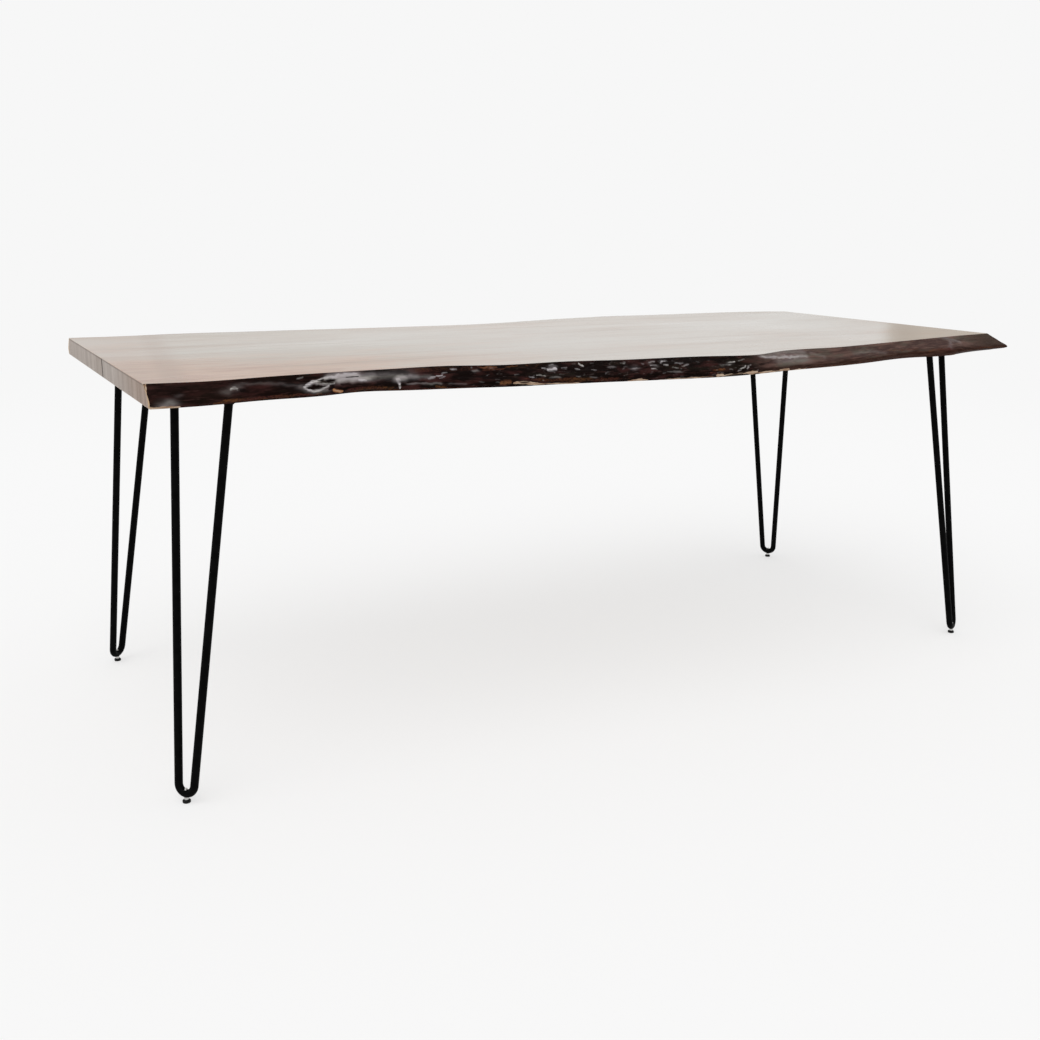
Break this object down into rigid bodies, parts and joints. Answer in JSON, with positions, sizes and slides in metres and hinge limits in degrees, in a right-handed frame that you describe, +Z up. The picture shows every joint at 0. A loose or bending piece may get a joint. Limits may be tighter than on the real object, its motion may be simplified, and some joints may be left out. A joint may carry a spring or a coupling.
{
  "type": "dining table",
  "caption": "Live-edge hardwood dining table: a wavy-sided slab top glued from boards, on splayed black hairpin legs with screw-adjusted levelling feet.",
  "frame": {"origin": "on the floor under the middle of the table's bounding box", "axes": "+X along the table's length, +Y from the dark front live edge to the back edge, +Z up"},
  "size_m": [2.0446, 0.9313, 0.76],
  "materials": {
    "hardwood_top": "satin lacquer",
    "tenon_wood": "bare, glued in",
    "black_steel": "satin black powder coat",
    "screw_steel": "black zinc",
    "plated_steel": "bright zinc plate",
    "black_plastic": "moulded nylon"
  },
  "bodies": {
    "root": {"front_board": "hardwood_top", "back_board": "hardwood_top", "glue_line_tenons": "tenon_wood", "front_left_leg_rod": "black_steel", "front_left_leg_plate": "black_steel", "front_left_leg_screws": "screw_steel", "back_left_leg_rod": "black_steel", "back_left_leg_plate": "black_steel", "back_left_leg_screws": "screw_steel", "back_right_leg_rod": "black_steel", "back_right_leg_plate": "black_steel", "back_right_leg_screws": "screw_steel", "front_right_leg_rod": "black_steel", "front_right_leg_plate": "black_steel", "front_right_leg_screws": "screw_steel"},
    "front_left_glide": {"front_left_foot_glide": "black_plastic"},
    "front_left_stud": {"front_left_foot_stud": "plated_steel"},
    "back_left_glide": {"back_left_foot_glide": "black_plastic"},
    "back_left_stud": {"back_left_foot_stud": "plated_steel"},
    "back_right_glide": {"back_right_foot_glide": "black_plastic"},
    "back_right_stud": {"back_right_foot_stud": "plated_steel"},
    "front_right_glide": {"front_right_foot_glide": "black_plastic"},
    "front_right_stud": {"front_right_foot_stud": "plated_steel"}
  },
  "joints": [
    {"name": "front_left_foot_height", "type": "slide", "parent": "root", "child": "front_left_glide", "axis": [0, 0, -1], "range_m": [0, 0.01]},
    {"name": "front_left_foot_turn", "type": "hinge", "parent": "front_left_glide", "child": "front_left_stud", "pos_m": [-0.99039, -0.37994, 0.011], "axis": [0, 0, -1], "range_deg": [0, 3600]},
    {"name": "back_left_foot_height", "type": "slide", "parent": "root", "child": "back_left_glide", "axis": [0, 0, -1], "range_m": [0, 0.01]},
    {"name": "back_left_foot_turn", "type": "hinge", "parent": "back_left_glide", "child": "back_left_stud", "pos_m": [-0.97853, 0.39567, 0.011], "axis": [0, 0, -1], "range_deg": [0, 3600]},
    {"name": "back_right_foot_height", "type": "slide", "parent": "root", "child": "back_right_glide", "axis": [0, 0, -1], "range_m": [0, 0.01]},
    {"name": "back_right_foot_turn", "type": "hinge", "parent": "back_right_glide", "child": "back_right_stud", "pos_m": [0.98344, 0.41066, 0.011], "axis": [0, 0, -1], "range_deg": [0, 3600]},
    {"name": "front_right_foot_height", "type": "slide", "parent": "root", "child": "front_right_glide", "axis": [0, 0, -1], "range_m": [0, 0.01]},
    {"name": "front_right_foot_turn", "type": "hinge", "parent": "front_right_glide", "child": "front_right_stud", "pos_m": [0.9634, -0.34894, 0.011], "axis": [0, 0, -1], "range_deg": [0, 3600]}
  ],
  "couplings": [
    {"joint": "front_left_foot_turn", "follows": "front_left_foot_height", "rad_per_m": 6283.2},
    {"joint": "back_left_foot_turn", "follows": "back_left_foot_height", "rad_per_m": 6283.2},
    {"joint": "back_right_foot_turn", "follows": "back_right_foot_height", "rad_per_m": 6283.2},
    {"joint": "front_right_foot_turn", "follows": "front_right_foot_height", "rad_per_m": 6283.2}
  ]
}
